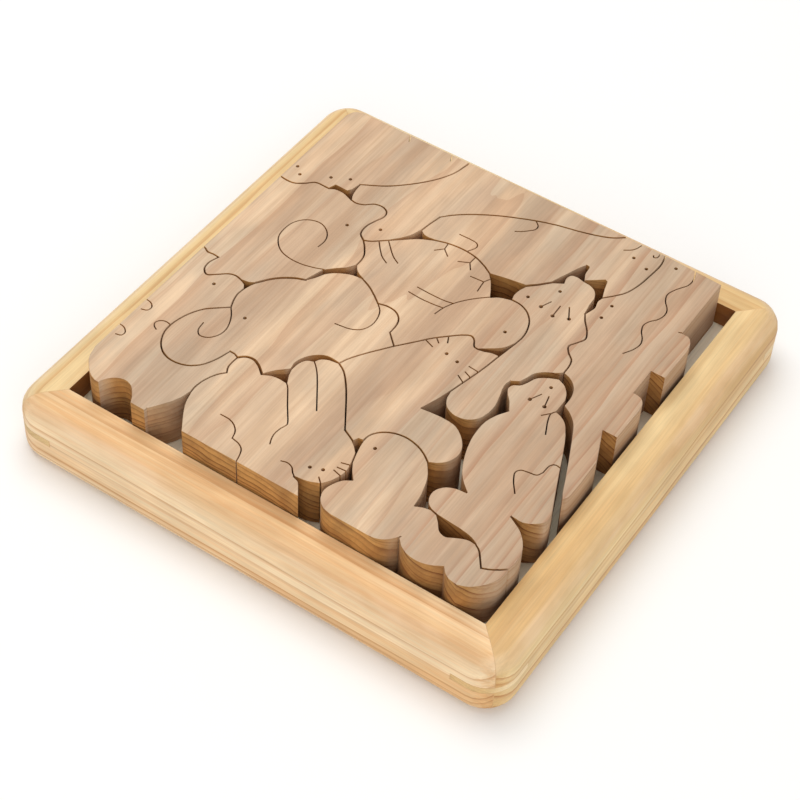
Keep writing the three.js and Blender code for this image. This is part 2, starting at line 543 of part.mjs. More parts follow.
// Cuts inside an animal, which draw its ears, legs and stripes, and its drilled holes.
const details = {
  hippo: {
    eyes: [[-97.2, 54], [-93.3, 50.3], [-80.9, 56.8], [-73.2, 60.9]],
    kerfs: [straight([-68.4, 102], [-66.2, 97.8]), straight([-45.8, 102], [-43.7, 97.8])],
  },
  mouse: { eyes: [[-44.1, 42]], kerfs: [] },
  boar: {
    eyes: [[54.3, 92.3], [62.1, 89.5]],
    kerfs: [
      curve([6.5, 87.6], [8.7, 86.4], [10.5, 84.5], [10.5, 82.2], [8.6, 79.8], [6.3, 77.5], [4, 76]),
      curve([-6.5, 52.9], [-5, 55.3], [-4.3, 58], [-5.6, 59.7], [-8.5, 60.1], [-14.5, 60]),
      curve([62.6, 102], [62.4, 98.3], [61.2, 97.7], [60.6, 98.6]),
      curve([48.5, 94], [50.8, 95.7], [52.3, 97.7], [53.6, 102]),
    ],
  },
  ram: {
    eyes: [[-57.5, 35.8]],
    kerfs: [
      curve(
        at.ramNose, [-54, 5.8], [-60, 4.4], [-66, 4.4], [-71, 5.8], [-75, 9], [-77.5, 13], [-78.2, 18],
        [-77.5, 23], [-75, 27], [-71, 29.5], [-67, 29.9], [-63, 28], [-60.5, 25], [-59.5, 21.5],
        [-59.8, 17.5],
      ),
    ],
  },
  tiger: {
    eyes: [[32.5, 21.8]],
    kerfs: [
      curve(at.tigerNeck, [12.5, 31.5], [9, 27.5], [6, 23], [4, 18.3], [3, 13.5]),
      curve([6, 23], [2, 22.2], [-4.5, 22], [-11.5, 22.2]),
      curve([4, 18.3], [0, 17.7], [-6, 17.3], [-13, 17.7]),
      curve([-40.8, 36], [-37, 31.5], [-34, 28.5], [-30.5, 26.5]),
      curve([-37.6, 38.6], [-34, 35], [-30, 31.3], [-26.5, 29.3]),
      straight([-15.5, 52.5], [-15, 48.5], [-18, 45.3]),
      straight([-15, 48.5], [-11.5, 45.5]),
      straight([-1.3, 52.3], [-1.5, 47.8], [1, 44.3]),
      straight([-1.5, 47.8], [-6, 45.5]),
      straight([11, 44.6], [9.5, 41.5], [3.3, 41]),
      straight([9.5, 41.5], [10.3, 35.3]),
    ],
  },
  cat: {
    eyes: [[19.5, -2.9], [25.5, -4.2]],
    kerfs: [
      straight([14.8, 6], [16.5, 2.5]),
      straight([11.1, 2.4], [13.5, 0.3]),
      straight([7.9, -1.3], [12.5, -3]),
      straight([36, -3.9], [31, -3.5]),
      straight([34.7, -8.4], [31.3, -7]),
      straight([33.8, -12.5], [30, -10.3]),
    ],
  },
  dog: {
    eyes: [[29.5, 45], [38.9, 55.8]],
    bladeHoles: [[37, 43.3], [43.8, 41.5], [50.3, 44]],
    kerfs: [
      straight([37, 43.3], [39, 48.3]),
      straight([43.8, 41.5], [43.5, 48.3]),
      straight([50.3, 44], [47, 50]),
    ],
  },
  elephant: {
    eyes: [[-59.7, -35.4]],
    kerfs: [
      curve(
        at.trunkRoot, [-65.3, -37.3], [-62.9, -42], [-62, -46.3], [-63, -50.3], [-65.5, -53.3],
        [-69, -54.2], [-71.3, -52], [-72, -47.7],
      ),
      curve(at.tigerHeel, [-16.6, 1.2], [-14.9, -3.3], [-14.8, -8], [-16.7, -12.2], [-20.6, -14.7], [-27.5, -15.9]),
    ],
  },
  bear: {
    eyes: [[-82.3, -27]],
    kerfs: [
      curve([-82.2, -56.5], [-85.2, -56.2], [-87.5, -57.5], [-88.2, -59.5], [-87, -61.2], [-85.5, -62]),
      curve([-100, -50.8], [-97, -51.2], [-94.9, -53], [-95.2, -55.5], [-97.6, -56.5]),
      curve([-100, -68.4], [-97, -68.8], [-94.7, -70.8], [-94.9, -73], [-97.2, -73.8]),
    ],
  },
  rabbit: {
    eyes: [[9.2, -85.2], [14.2, -83.3]],
    kerfs: [
      curve(at.rabbitEarNotch, [-20, -40.2], [-17, -43.5], [-5.7, -59.7]),
      curve(at.rabbitNape, [-22.5, -56.3], [-17, -64], [-12.2, -70.3]),
      curve([-12.2, -70.3], [-11, -72.5], [-11.9, -76], [-12.2, -79.5], [-11.5, -82.5], [-10.5, -84.7]),
      curve([-35.5, -83.7], [-31, -83.8], [-28, -85], [-25.5, -87.5], [-24.3, -91]),
      curve([-24.3, -91], [-20.5, -91.8], [-18, -93.5], [-16.5, -97], [-15.8, -100]),
      curve(at.rabbitChin, [5.5, -91.5], [3.5, -89.3], [0.7, -88.5], [-1.7, -89.2]),
      straight([17.6, -89.6], [15, -87.3]),
      straight([22, -75], [18, -76.2]),
      straight([22.5, -78.5], [18, -79]),
      straight([22, -82], [17.8, -81]),
    ],
  },
  chick: { eyes: [[24.5, -62.4]], kerfs: [straight(at.chickNotch, [57.2, -93])] },
  seal: {
    eyes: [[64.3, 6.3]],
    bladeHoles: [[60.6, -4.2], [67.5, -4.2]],
    kerfs: [
      straight([60.6, -4.2], [63, 0.8]),
      straight([67.5, -4.2], [66.2, 1.5]),
      curve(at.sealShoulder, [71.6, -6], [72.6, -10], [75.5, -16.5]),
      straight([71.5, -5.8], [69, -8.8]),
      curve([89.6, -28.2], [87, -27.9], [85.4, -29.5], [85, -34]),
      curve([85, -34], [83.7, -36.6], [80, -37.4], [77.2, -38.2], [76, -40.3], [77.7, -44.3], [81.5, -49.5]),
    ],
  },
  crocodile: {
    eyes: [[61.2, 61.3], [61, 52.8], [72.4, 97.3]],
    kerfs: [
      curve(
        [79.6, 102], [81.8, 96], [81.6, 91.5], [78.5, 86], [77, 81.3], [78.3, 77.3], [81.3, 73.3],
        [82, 70], [81, 66], [78.6, 62.7], [77.6, 59.5], [78.6, 56], [81.2, 52], [82, 49], [81.2, 45],
        [78.7, 40.3],
      ),
      straight([93.4, 65.2], [91.8, 64.6]),
    ],
  },
};

// The cuts round each animal, in order. A straight board edge closes the gap between two of them.
const outlines = {
  hippo: ["hippoJaw", "hippoEar", "hippoBack", "boardCorner"],
  mouse: ["mouseShoulder", "mouseChin", "mouseLip", "mouseBelly", "mouseLeg", "mouseTail", "hippoBack"],
  boar: [
    "mouseTail", "mouseLeg", "boarFoot", "boarBelly", "boarArm", "boarChin", "boarForeleg",
    "boarForehoof", "boarBrow", "boarNape",
  ],
  ram: [
    "hippoJaw", "ramPoll", "mouseChin", "ramFace", "ramMuzzle", "ramChest", "ramBelly", "ramHock",
    "ramTail", "ramRump",
  ],
  tiger: [
    "mouseLip", "tigerRump", "boarBelly", "tigerShoulder", "tigerBrow", "tigerFace", "tigerChin",
    "tigerForeleg", "tigerToe", "tigerSole", "tigerShin", "tigerThigh", "ramFace",
  ],
  cat: [
    "tigerForeleg", "catEar", "catSide", "catRump", "catTail", "catBelly", "catFoot", "rabbitBrow",
    "rabbitEarBack", "catFront",
  ],
  dog: [
    "dogNose", "boarChin", "dogEar", "dogPoll", "dogCrown", "dogBack", "dogRump", "dogHaunch",
    "catSide", "dogThroat", "tigerFace",
  ],
  elephant: [
    "elephantNape", "tigerShin", "tigerSole", "tigerToe", "catFront", "elephantBelly",
    "elephantKnee", "elephantSole", "elephantCuff", "elephantTrunk", "elephantFace", "elephantBrow",
    "ramBelly", "elephantChest",
  ],
  bear: [
    "ramRump", "ramTail", "bearPoll", "elephantFace", "elephantTrunk", "elephantCuff", "bearBack",
    "bearHaunch", "bearLeg", "bearFoot", "bearArch", "bearForefoot",
  ],
  rabbit: [
    "bearBack", "elephantSole", "rabbitShoulder", "rabbitEarRoot", "rabbitEarNear", "rabbitEarFar",
    "rabbitEarBack", "rabbitBrow", "rabbitCrown", "rabbitTemple", "rabbitCheek", "rabbitMouth",
    "rabbitPaw", "rabbitThigh", "bearHaunch",
  ],
  chick: [
    "catBelly", "chickBack", "chickWing", "sealFlipper", "chickSaddle", "sealAnkle", "sealHeel",
    "chickTailEnd", "chickTailLow", "chickFeather", "chickFoot", "chickBreast", "chickNape",
    "rabbitTemple", "chickCrown",
  ],
  seal: [
    "sealFace", "sealBack", "sealHip", "sealFlipper", "sealSole", "sealAnkle", "sealHeel",
    "sealThigh", "sealBelly", "sealThroat",
  ],
  crocodile: [
    "crocBrow", "boarNape", "crocThroat", "crocForefoot", "crocBelly", "crocHindfoot", "crocThigh",
    "crocTailBack", "crocTail", "crocJowl", "dogBack",
  ],
};

const between = ([ax, ay], [bx, by]) => Math.hypot(ax - bx, ay - by);
const startOf = (cut) => cut.path[0];
const endOf = (cut) => cut.path.at(-1);
const reversed = (cut) => ({ ...cut, path: [...cut.path].reverse() });

// The cut that leads on from a point, turned round if it was drawn towards that point.
function leadingFrom(point, cut) {
  return between(point, startOf(cut)) <= between(point, endOf(cut)) ? cut : reversed(cut);
}

// The cuts round an animal, each running on from the last, with a straight cut along the board's
// edge wherever two of them don't meet.
function boundary(names) {
  const [first, second] = names.map((name) => cuts[name]);
  const reach = (point) => Math.min(between(point, startOf(second)), between(point, endOf(second)));
  const sides = [reach(startOf(first)) < reach(endOf(first)) ? reversed(first) : first];
  const runTo = (point) => {
    const end = endOf(sides.at(-1));
    if (between(end, point) > KERF) sides.push({ path: [end, point], width: KERF });
  };
  for (const name of names.slice(1)) {
    const next = leadingFrom(endOf(sides.at(-1)), cuts[name]);
    runTo(startOf(next));
    sides.push(next);
  }
  runTo(startOf(sides[0]));
  return sides;
}

function animal(name) {
  const { eyes, kerfs, bladeHoles = [] } = details[name];
  const bottom = BOARD_BOTTOM - OVERSHOOT;
  const top = BOARD_TOP + OVERSHOOT;
  const sides = boundary(outlines[name]);
  const blank = prism(sides.flatMap((side) => side.path.slice(1)), BOARD_BOTTOM, BOARD_TOP);
  const cutters = [
    ...[...sides, ...kerfs].map((cut) => kerfSolid(cut, bottom, top)),
    ...sides.map((cut) => flareSolid(cut)),
    ...bladeHoles.map((hole) => drilledHole(placed(hole), BLADE_HOLE_DIAMETER, bottom, top)),
    ...eyes.map((eye) => drilledHole(placed(eye), EYE_DIAMETER, BOARD_TOP - EYE_DEPTH, top)),
  ];
  return cutters.reduce((solid, cutter) => solid.subtract(cutter), blank);
}

// ---------------------------------------------------------------- assembly

const wood = (color, roughness) => new THREE.MeshStandardMaterial({ color, roughness, metalness: 0 });

const puzzle = new THREE.Group();
puzzle.name = "animal_puzzle";

function addPiece(name, solid, material) {
  const piece = new THREE.Mesh(geometryFrom(solid), material);
  piece.name = name;
  puzzle.add(piece);
}

["front_rail", "right_rail", "back_rail", "left_rail"].forEach((name, turn) =>
  addPiece(name, rail(turn), wood(0xddb67c, 0.55)),
);
["front_left_spline", "front_right_spline", "back_right_spline", "back_left_spline"].forEach((name, turn) =>
  addPiece(name, cornerSpline(turn), wood(0xe6cf9f, 0.55)),
);
addPiece("floor_panel", floorPanel(), wood(0xe9dcbc, 0.6));
for (const name of Object.keys(outlines)) {
  addPiece(`${name}_piece`, animal(name), wood(0xd2ab84, 0.6));
}

export default puzzle;
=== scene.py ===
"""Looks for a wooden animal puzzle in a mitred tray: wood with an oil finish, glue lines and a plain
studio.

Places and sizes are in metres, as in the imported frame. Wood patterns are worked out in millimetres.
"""

import math
from dataclasses import dataclass

import bmesh
import bpy
from mathutils import Matrix, Vector


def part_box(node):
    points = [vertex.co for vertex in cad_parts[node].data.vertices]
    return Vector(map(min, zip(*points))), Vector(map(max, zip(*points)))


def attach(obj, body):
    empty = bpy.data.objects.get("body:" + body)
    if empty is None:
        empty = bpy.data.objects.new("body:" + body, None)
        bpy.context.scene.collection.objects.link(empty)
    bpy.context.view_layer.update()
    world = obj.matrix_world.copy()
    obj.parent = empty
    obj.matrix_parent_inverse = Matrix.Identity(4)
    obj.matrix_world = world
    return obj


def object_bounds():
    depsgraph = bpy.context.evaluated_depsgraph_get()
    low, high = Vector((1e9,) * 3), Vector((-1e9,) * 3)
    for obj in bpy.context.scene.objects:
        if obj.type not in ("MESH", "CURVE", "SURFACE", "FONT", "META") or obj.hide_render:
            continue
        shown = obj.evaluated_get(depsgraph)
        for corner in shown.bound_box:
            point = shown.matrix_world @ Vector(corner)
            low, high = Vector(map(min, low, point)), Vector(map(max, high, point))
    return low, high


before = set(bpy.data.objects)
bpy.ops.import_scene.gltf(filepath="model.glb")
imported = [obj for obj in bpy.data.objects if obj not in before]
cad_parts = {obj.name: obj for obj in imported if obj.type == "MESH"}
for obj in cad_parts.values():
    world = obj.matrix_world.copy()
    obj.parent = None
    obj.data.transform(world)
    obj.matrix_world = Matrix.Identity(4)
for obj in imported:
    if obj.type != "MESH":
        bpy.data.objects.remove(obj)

CAD_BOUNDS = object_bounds()
MM = 0.001

# Camera.
CAMERA_PLACE = Vector((0.3027, -0.5014, 0.6541))
CAMERA_AIM = Vector((0.0090, -0.0193, 0.0300))
CAMERA_ROLL = math.radians(3.39)
CAMERA_LENS = 92.6
CAMERA_SHIFT = (-0.0041, -0.0168)

# Studio.
WORLD_STRENGTH = 0.5
FLOOR_SIZE = 6.0
FLOOR_COLOUR = (249, 248, 246)
FLOOR_ROUGHNESS = 0.9
FLOOR_DROP = 0.1 * MM  # how far the floor lies below the part
KEY_LIGHT = dict(place=(-0.4, 0.25, 1.5), size=1.3, power=15.0)
FILL_LIGHT = dict(place=(0.9, -1.1, 0.9), size=1.2, power=7.5)

# Shading.
SMOOTH_ANGLE = math.radians(50)
MERGE_DISTANCE = 0.001 * MM
SAME_WAY = 0.999  # cosine over which two directions count as one
GLUE_SHARE = 0.96  # how much of a joint's gap its glue fills
PAINTED_SHADE_TINT = (170, 130, 92)  # painted shade: a tint that darkens the tray's inner walls and the animals' lower sides, where shade falls in the gaps
PAINTED_SHADE_DEPTH = (1 * MM, 15 * MM)  # how far below an animal's top the painted shade starts, and is full
# how strong the painted shade on the animals' lower sides is
PAINTED_SHADE_STRENGTH = 0.3
WEAR_AND_HIGHLIGHT = (240, 214, 184)  # paler wood along the eased edges: partly wear from handling, partly a painted highlight where the edges catch light
SPECULAR = 0.35

X_AXIS = (1.0, 0.0, 0.0)
Y_AXIS = (0.0, 1.0, 0.0)
Z_AXIS = (0.0, 0.0, 1.0)


def linear(colour):
    """A colour of three 0 to 255 screen values, as linear light with full alpha."""
    return (*(((value / 255 + 0.055) / 1.055) ** 2.4 for value in colour), 1.0)


# ---------------------------------------------------------------- shader helpers


class Shader:
    """A new material, with one short call for each kind of node that the woods need."""

    def __init__(self, name):
        self.material = bpy.data.materials.new(name)
        self.material.use_nodes = True
        self.tree = self.material.node_tree
        self.surface = self.tree.nodes["Principled BSDF"]

    def node(self, kind, inputs, **settings):
        made = self.tree.nodes.new(kind)
        for name, value in settings.items():
            setattr(made, name, value)
        for socket, value in inputs.items():
            self.feed(made.inputs[socket], value)
        return made

    def feed(self, socket, value):
        if isinstance(value, bpy.types.NodeSocket):
            self.tree.links.new(value, socket)
        else:
            socket.default_value = value

    def math(self, operation, *values, clamp=False):
        inputs = dict(enumerate(values))
        return self.node("ShaderNodeMath", inputs, operation=operation, use_clamp=clamp).outputs[0]

    def vector(self, operation, *values):
        inputs = dict(enumerate(values))
        return self.node("ShaderNodeVectorMath", inputs, operation=operation).outputs["Vector"]

    def length(self, vector):
        return self.node("ShaderNodeVectorMath", {0: vector}, operation="LENGTH").outputs["Value"]

    def dot(self, a, b):
        return self.node("ShaderNodeVectorMath", {0: a, 1: b}, operation="DOT_PRODUCT").outputs["Value"]

    def noise(self, place, detail=2.0, roughness=0.5):
        inputs = {"Vector": place, "Scale": 1.0, "Detail": detail, "Roughness": roughness}
        return self.node("ShaderNodeTexNoise", inputs)

    def between(self, value, low, high, to_low=0.0, to_high=1.0):
        inputs = {"Value": value, "From Min": low, "From Max": high, "To Min": to_low, "To Max": to_high}
        return self.node("ShaderNodeMapRange", inputs, interpolation_type="SMOOTHSTEP").outputs["Result"]

    def mix(self, factor, a, b, blend="MIX"):
        made = self.tree.nodes.new("ShaderNodeMix")
        made.data_type = "RGBA"
        made.blend_type = blend
        self.feed(made.inputs[0], factor)
        self.feed(made.inputs[6], a)
        self.feed(made.inputs[7], b)
        return made.outputs[2]

    def curve(self, value, stops):
        """A value read off a line through (place, height) stops."""
        made = self.node("ShaderNodeValToRGB", {"Fac": value})
        elements = made.color_ramp.elements
        while len(elements) < len(stops):
            elements.new(1.0)
        for element, (place, height) in zip(elements, stops):
            element.position = place
            element.color = (height, height, height, 1.0)
        return made.outputs["Color"]


# ---------------------------------------------------------------- wood


@dataclass(frozen=True)
class Wood:
    """A piece of wood. Colours are screen values, and lengths are millimetres."""

    early: tuple  # the wide pale part of each ring
    late: tuple  # the dark line that ends each ring
    late_end: tuple  # the same line on end grain
    band: tuple  # broad bands where the heartwood shows
    end: tuple  # how end grain darkens it, as a tint
    pith: tuple  # the middle of the tree, across the grain: (sideways, up)
    ring: float  # how wide a year's growth is
    ring_strength: float
    wander: float = 9.0  # how far the rings stray from true circles
    grain: str = "Y"  # which way the grain runs
    band_width: float = 28.0
    heartwood: float = 1000.0  # how far sideways the darker heartwood starts
    streak_width: float = 3.4
    streak_strength: float = 0.5
    patch: tuple = (200, 180, 150)  # soft greyer patches
    patch_strength: float = 0.0
    fibre_strength: float = 0.5
    roughness: float = 0.52
    painted_shade: str = ""  # which walls get painted shade: the "inside" ones, or the "lower" parts of all


# How dark each part of a year's ring is, from the spring growth out to the autumn line.
RING_PROFILE = [(0.0, 0.3), (0.06, 0.0), (0.45, 0.08), (0.72, 0.36), (0.9, 0.85), (1.0, 1.0)]
FAINTEST_RING = 0.35  # the least that a poor year's ring shows
UNEVEN_SCALE = 0.23  # how soon wide years give way to narrow ones
UNEVEN_YEARS = 3.4  # how many years they are off by
END_RING_BOOST = 1.75  # how much stronger the rings are on end grain

# Lengths of the figure's parts in millimetres: across the grain, and along it.
WANDER_LENGTHS = (34, 210)
PATCH_LENGTHS = (19, 64)
FIBRE_LENGTHS = (0.75, 34)
MOTTLE_LENGTHS = (9, 26)
PORE_LENGTHS = (0.42, 7)
BAND_LENGTH = 420
STREAK_STRETCH = 28  # how many times longer than wide a streak is
HEARTWOOD_BLEND = 12  # millimetres over which the heartwood starts, either way
HEARTWOOD_LIFT = 0.2  # how much it adds to the bands' noise

# The values of a noise at which a pattern starts to show, and is full.
BANDS = (0.42, 0.6)
PATCHES = (0.44, 0.66)
STREAKS = (0.4, 0.62)
PORES = (0.66, 0.78)

# The cosines at which a face starts to count as one kind, and fully does.
END_FACE = (0.3, 0.95)  # with the grain
SLOPE_START = (0.25, 0.6)  # with straight up
SLOPE_END = (0.85, 0.985)  # with straight up
INNER_FACE = (-0.3, -0.65)  # with the way out from the tray's middle
UPRIGHT = (0.5, 0.2)  # with straight up or down

# Light and dark: each range of a noise, and what a tone is multiplied by at its ends.
FIBRE_RANGE = (0.25, 0.75)
FIBRE_LIGHT = (-0.18, 0.14)  # added to 1, for a fibre strength of 1
MOTTLE_RANGE = (0.3, 0.7)
MOTTLE_LIGHT = (0.94, 1.06)
PORE_DARKNESS = 0.10
WEAR_AND_HIGHLIGHT_RANGE = (0.3, 0.75)
WEAR_AND_HIGHLIGHT_SHARE = (0.12, 0.4)  # how far an eased edge is made pale, by wear and a painted highlight

# Surface.
ROUGH_RANGE = (0.2, 0.8)
ROUGH_CHANGE = (-0.07, 0.1)
END_ROUGHNESS = 0.14  # how much rougher end grain is
RING_HEIGHT = -0.55  # how high the rings stand, where the fibres stand 1
BUMP_STRENGTH = 0.35
BUMP_HEIGHT = 0.12 * MM


def board_place(shader, wood):
    """Where a point is in the board, in millimetres, with +Y along the grain and the pith at zero."""
    place = shader.node("ShaderNodeTexCoord", {}).outputs["Object"]
    turn = math.radians(90) if wood.grain == "X" else 0.0
    mapping = {"Vector": place, "Rotation": (0.0, 0.0, turn), "Scale": (1 / MM, 1 / MM, 1 / MM)}
    turned = shader.node("ShaderNodeMapping", mapping, vector_type="POINT").outputs["Vector"]
    sideways, up = wood.pith
    return shader.vector("SUBTRACT", turned, (sideways, 0.0, up))


def figure(shader, board, lengths, **settings):
    """A noise drawn out along the grain, with parts of these lengths across the grain and along it."""
    across, along = lengths
    place = shader.vector("MULTIPLY", board, (1 / across, 1 / along, 1 / across))
    return shader.noise(place, **settings).outputs


def growth_rings(shader, wood, board):
    """How dark the growth rings are at a point, from 0 to 1."""
    wander = figure(shader, board, WANDER_LENGTHS, detail=3.0)
    centred = shader.vector("SUBTRACT", wander["Color"], (0.5, 0.5, 0.5))
    across = shader.vector("MULTIPLY", board, (1.0, 0.0, 1.0))
    bent = shader.vector("ADD", across, shader.vector("MULTIPLY", centred, (wood.wander, 0.0, wood.wander)))
    years = shader.math("DIVIDE", shader.length(bent), wood.ring)
    unevenness = {"W": years, "Scale": UNEVEN_SCALE, "Detail": 2.0}
    uneven = shader.node("ShaderNodeTexNoise", unevenness, noise_dimensions="1D")
    aged = shader.math("MULTIPLY_ADD", uneven.outputs[0], UNEVEN_YEARS, years)
    profile = shader.curve(shader.math("FRACT", aged), RING_PROFILE)
    year = shader.node("ShaderNodeTexWhiteNoise", {"W": shader.math("FLOOR", aged)}, noise_dimensions="1D")
    weather = shader.between(year.outputs["Value"], 0.0, 1.0, FAINTEST_RING, 1.0)
    return shader.math("MULTIPLY", profile, weather)


def end_grain(shader, wood):
    """1 where a face looks along the grain, and 0 where it looks across it."""
    normal = shader.node("ShaderNodeTexCoord", {}).outputs["Normal"]
    along = X_AXIS if wood.grain == "X" else Y_AXIS
    facing = shader.math("ABSOLUTE", shader.dot(normal, along))
    return shader.between(facing, *END_FACE)


def eased_edge(shader):
    """1 on the sanded slope round a top edge, and 0 on flat tops and upright sides."""
    normal = shader.node("ShaderNodeTexCoord", {}).outputs["Normal"]
    up = shader.dot(normal, Z_AXIS)
    rising = shader.between(up, *SLOPE_START)
    level = shader.between(up, *SLOPE_END)
    return shader.math("SUBTRACT", rising, level, clamp=True)


def painted_inner_wall_shade(shader):
    """Painted shade mask: 1 on the tray's inside walls, which look back at its middle, and 0 elsewhere."""
    coordinates = shader.node("ShaderNodeTexCoord", {}).outputs
    level = shader.vector("MULTIPLY", coordinates["Object"], (1.0, 1.0, 0.0))
    outward = shader.dot(coordinates["Normal"], shader.vector("NORMALIZE", level))
    return shader.between(outward, *INNER_FACE)


def painted_lower_wall_shade(shader):
    """How much painted shade an animal gets: most low on its upright sides, and 0 at its top and on level
    faces.
    """
    coordinates = shader.node("ShaderNodeTexCoord", {}).outputs
    height = shader.dot(coordinates["Object"], Z_AXIS)
    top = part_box("ram_piece")[1][2]
    start, full = PAINTED_SHADE_DEPTH
    depth = shader.between(height, top - start, top - full, 0.0, PAINTED_SHADE_STRENGTH)
    tilt = shader.math("ABSOLUTE", shader.dot(coordinates["Normal"], Z_AXIS))
    return shader.math("MULTIPLY", depth, shader.between(tilt, *UPRIGHT))


def heartwood_bands(shader, wood, board):
    """1 in the broad darker bands, of which there are more on the heartwood's side."""
    bands = figure(shader, board, (wood.band_width, BAND_LENGTH), detail=2.5)
    sideways = shader.dot(board, X_AXIS)
    start = wood.heartwood - wood.pith[0]
    ends = (start - HEARTWOOD_BLEND, start + HEARTWOOD_BLEND)
    heart = shader.between(sideways, *ends, 0.0, HEARTWOOD_LIFT)
    return shader.between(shader.math("ADD", bands["Fac"], heart), *BANDS)


def tinted(shader, factor, tone, tint):
    """A tone that is multiplied by a tint where the factor is 1."""
    return shader.mix(factor, tone, shader.mix(1.0, tone, tint, blend="MULTIPLY"))


def shaded(shader, wood, board, tone, fibre, mottle):
    """A tone with the light and dark of its fibres, mottle and pores."""
    pores = figure(shader, board, PORE_LENGTHS, detail=1.0)
    pore = shader.between(pores["Fac"], *PORES)
    strength = wood.fibre_strength
    darkest, lightest = (1 + change * strength for change in FIBRE_LIGHT)
    fibrous = shader.between(fibre, *FIBRE_RANGE, darkest, lightest)
    mottled = shader.math("MULTIPLY", fibrous, shader.between(mottle, *MOTTLE_RANGE, *MOTTLE_LIGHT))
    brightness = shader.math("SUBTRACT", mottled, shader.math("MULTIPLY", pore, PORE_DARKNESS * strength))
    grey = shader.node("ShaderNodeCombineColor", dict.fromkeys(range(3), brightness)).outputs[0]
    return shader.mix(1.0, tone, grey, blend="MULTIPLY")


def ringed(shader, wood, tone, rings, end):
    """A tone with its growth rings, which are stronger and darker on end grain."""
    on_end = min(1.0, END_RING_BOOST * wood.ring_strength)
    strength = shader.between(end, 0.0, 1.0, wood.ring_strength, on_end)
    late = shader.mix(end, linear(wood.late), linear(wood.late_end))
    return shader.mix(shader.math("MULTIPLY", rings, strength), tone, late)


def wood_tone(shader, wood, board, rings, end, fibre):
    """The colour of the wood at a point."""
    tone = shader.mix(heartwood_bands(shader, wood, board), linear(wood.early), linear(wood.band))
    if wood.patch_strength:
        patches = figure(shader, board, PATCH_LENGTHS, detail=3.0, roughness=0.6)
        patch = shader.between(patches["Fac"], *PATCHES, 0.0, wood.patch_strength)
        tone = shader.mix(patch, tone, linear(wood.patch))
    tone = ringed(shader, wood, tone, rings, end)
    streak_lengths = (wood.streak_width, STREAK_STRETCH * wood.streak_width)
    streaks = figure(shader, board, streak_lengths, detail=3.0, roughness=0.6)
    streaked = shader.between(streaks["Fac"], *STREAKS, 0.0, wood.streak_strength)
    tone = shader.mix(streaked, tone, linear(wood.band), blend="MULTIPLY")
    mottle = figure(shader, board, MOTTLE_LENGTHS, detail=3.0)["Fac"]
    tone = shaded(shader, wood, board, tone, fibre, mottle)
    tone = tinted(shader, end, tone, linear(wood.end))
    # Painted shade: darkens the tray's inner walls, or the animals' lower sides, where shade falls in the
    # gaps.
    if wood.painted_shade:
        painted_shade_mask = painted_inner_wall_shade(shader) if wood.painted_shade == "inside" else painted_lower_wall_shade(shader)
        tone = tinted(shader, painted_shade_mask, tone, linear(PAINTED_SHADE_TINT))
    # Eased edges made paler: partly wear, partly a painted highlight where they catch light.
    wear_and_highlight_amount = shader.between(mottle, *WEAR_AND_HIGHLIGHT_RANGE, *WEAR_AND_HIGHLIGHT_SHARE)
    wear_and_highlight_mask = shader.math("MULTIPLY", eased_edge(shader), wear_and_highlight_amount)
    return shader.mix(wear_and_highlight_mask, tone, linear(WEAR_AND_HIGHLIGHT))


def wood_material(name, wood):
    shader = Shader(name)
    board = board_place(shader, wood)
    rings = growth_rings(shader, wood, board)
    end = end_grain(shader, wood)
    fibre = figure(shader, board, FIBRE_LENGTHS, detail=4.0, roughness=0.65)["Fac"]

    smoothest, roughest = (wood.roughness + change for change in ROUGH_CHANGE)
    rough = shader.between(fibre, *ROUGH_RANGE, smoothest, roughest)
    rough = shader.math("MULTIPLY_ADD", end, END_ROUGHNESS, rough)
    height = shader.math("MULTIPLY_ADD", rings, RING_HEIGHT, fibre)
    bumps = {"Height": height, "Strength": BUMP_STRENGTH, "Distance": BUMP_HEIGHT}
    bump = shader.node("ShaderNodeBump", bumps)

    shader.feed(shader.surface.inputs["Base Color"], wood_tone(shader, wood, board, rings, end, fibre))
    shader.feed(shader.surface.inputs["Roughness"], rough)
    shader.feed(shader.surface.inputs["Normal"], bump.outputs["Normal"])
    shader.feed(shader.surface.inputs["Specular IOR Level"], SPECULAR)
    return shader.material


ANIMAL_BOARD = Wood(
    early=(227, 195, 159),
    late=(174, 120, 84),
    late_end=(112, 62, 24),
    band=(199, 168, 137),
    end=(240, 208, 146),
    pith=(-30.0, -215.0),
    ring=2.7,
    ring_strength=0.6,
    heartwood=52.0,
    band_width=22.0,
    streak_width=5.0,
    streak_strength=0.26,
    patch=(196, 174, 147),
    patch_strength=0.6,
    painted_shade="lower",
)
RAIL = dict(
    late=(196, 134, 70),
    late_end=(190, 130, 70),
    end=(226, 204, 170),
    ring_strength=0.85,
    band_width=16.0,
    roughness=0.48,
    painted_shade="inside",
)
FRONT_RAIL = dict(
    early=(250, 222, 180),
    band=(234, 194, 142),
    streak_width=1.8,
    streak_strength=0.3,
    wander=4.0,
)
OTHER_RAIL = dict(early=(237, 208, 154), band=(222, 182, 122), streak_strength=0.2)
RAILS = {
    "front_rail": Wood(**RAIL, **FRONT_RAIL, grain="X", ring=3.5, pith=(20.0, -100.0)),
    "right_rail": Wood(**RAIL, **OTHER_RAIL, grain="Y", ring=6.0, pith=(71.0, -64.0)),
    "back_rail": Wood(**RAIL, **OTHER_RAIL, grain="X", ring=5.0, pith=(64.0, -75.0)),
    "left_rail": Wood(**RAIL, **OTHER_RAIL, grain="Y", ring=4.6, pith=(-165.0, -48.0)),
}
SPLINE = Wood(
    early=(240, 216, 172),
    late=(222, 188, 138),
    late_end=(214, 178, 128),
    band=(236, 208, 160),
    end=(240, 228, 206),
    pith=(30.0, -160.0),
    ring=2.2,
    ring_strength=0.35,
    streak_strength=0.1,
)
